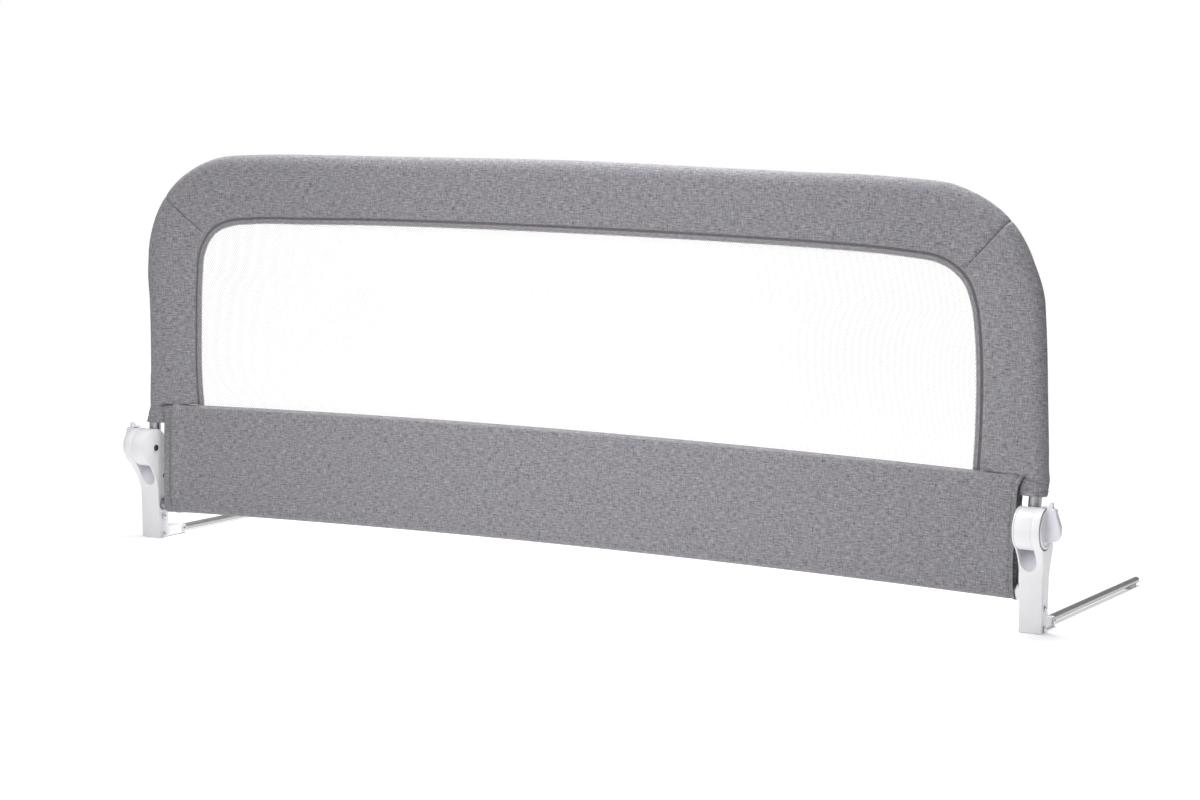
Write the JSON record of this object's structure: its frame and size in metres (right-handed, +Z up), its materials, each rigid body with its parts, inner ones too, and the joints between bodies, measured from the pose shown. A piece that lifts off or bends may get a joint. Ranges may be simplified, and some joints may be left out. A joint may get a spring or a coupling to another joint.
{
  "type": "folding cloth-covered guard rail with a net window and under-mattress arms",
  "caption": "A folding bed guard rail: a grey cloth cover and white net on a steel hoop, white hinged legs with wing knobs, and steel arms that go under a mattress.",
  "frame": {"origin": "centre of the bounding box's underside, on the plane that the legs and arms stand on", "axes": "+X along the rail to the right-hand leg, +Y from the rail towards the arm ends, +Z up"},
  "size_m": [1.36, 0.4499, 0.54],
  "materials": {
    "leg_plastic": "glossy",
    "knob_plastic": "satin",
    "rail_steel": "satin",
    "arm_steel": "satin",
    "bracket_paint": "satin",
    "zinc": "satin",
    "dark_steel": "satin",
    "cover_fabric": "woven melange",
    "binding_fabric": "woven tape",
    "net_fabric": "knitted net",
    "foot_rubber": "matte"
  },
  "bodies": {
    "base": {"left_leg_outer_shell": "leg_plastic", "left_leg_inner_shell": "leg_plastic", "left_pivot_bolt": "dark_steel", "left_release_spring": "zinc", "left_foot_bracket": "bracket_paint", "left_upper_leg_bolt": "zinc", "left_lower_leg_bolt": "zinc", "left_shell_screw": "dark_steel", "left_arm_rivet": "zinc", "right_leg_outer_shell": "leg_plastic", "right_leg_inner_shell": "leg_plastic", "right_pivot_bolt": "dark_steel", "right_release_spring": "zinc", "right_foot_bracket": "bracket_paint", "right_upper_leg_bolt": "zinc", "right_lower_leg_bolt": "zinc", "right_shell_screw": "dark_steel", "right_arm_rivet": "zinc", "lower_tube_left": "rail_steel", "lower_tube_right": "rail_steel", "lower_tube_collar": "leg_plastic", "lower_panel": "cover_fabric"},
    "upper_frame": {"left_hinge_hub": "leg_plastic", "left_tube_pin": "zinc", "left_corner_tube": "rail_steel", "left_cover_sleeve": "cover_fabric", "right_hinge_hub": "leg_plastic", "right_tube_pin": "zinc", "right_corner_tube": "rail_steel", "right_cover_sleeve": "cover_fabric", "top_tube": "rail_steel", "top_cover_sleeve": "cover_fabric", "window_binding": "binding_fabric", "net_window": "net_fabric"},
    "left_knob": {"left_wing_knob": "knob_plastic"},
    "left_clamp": {"left_clamp_ring": "knob_plastic"},
    "left_arm": {"left_arm_knuckle": "bracket_paint", "left_arm_tube": "arm_steel", "left_arm_end_plug": "arm_steel", "left_arm_foot": "foot_rubber"},
    "right_knob": {"right_wing_knob": "knob_plastic"},
    "right_clamp": {"right_clamp_ring": "knob_plastic"},
    "right_arm": {"right_arm_knuckle": "bracket_paint", "right_arm_tube": "arm_steel", "right_arm_end_plug": "arm_steel", "right_arm_foot": "foot_rubber"}
  },
  "joints": [
    {"name": "frame_fold", "type": "hinge", "parent": "base", "child": "upper_frame", "pos_m": [0, -0.199, 0.128], "axis": [1, 0, 0], "range_deg": [0, 176], "deforming": ["lower_panel"]},
    {"name": "left_knob_turn", "type": "hinge", "parent": "base", "child": "left_knob", "pos_m": [-0.661, -0.199, 0.128], "axis": [1, 0, 0], "range_deg": [0, 90]},
    {"name": "left_clamp_release", "type": "slide", "parent": "base", "child": "left_clamp", "axis": [-1, 0, 0], "range_m": [0, 0.0012]},
    {"name": "left_arm_fold", "type": "hinge", "parent": "base", "child": "left_arm", "pos_m": [-0.64, -0.129, 0.007], "axis": [1, 0, 0], "range_deg": [0, 90]},
    {"name": "right_knob_turn", "type": "hinge", "parent": "base", "child": "right_knob", "pos_m": [0.661, -0.199, 0.128], "axis": [1, 0, 0], "range_deg": [0, 90]},
    {"name": "right_clamp_release", "type": "slide", "parent": "base", "child": "right_clamp", "axis": [1, 0, 0], "range_m": [0, 0.0012]},
    {"name": "right_arm_fold", "type": "hinge", "parent": "base", "child": "right_arm", "pos_m": [0.64, -0.129, 0.007], "axis": [1, 0, 0], "range_deg": [0, 90]}
  ],
  "couplings": [
    {"joint": "left_clamp_release", "follows": "left_knob_turn", "m_per_rad": 0.000763},
    {"joint": "right_clamp_release", "follows": "right_knob_turn", "m_per_rad": 0.000763}
  ]
}
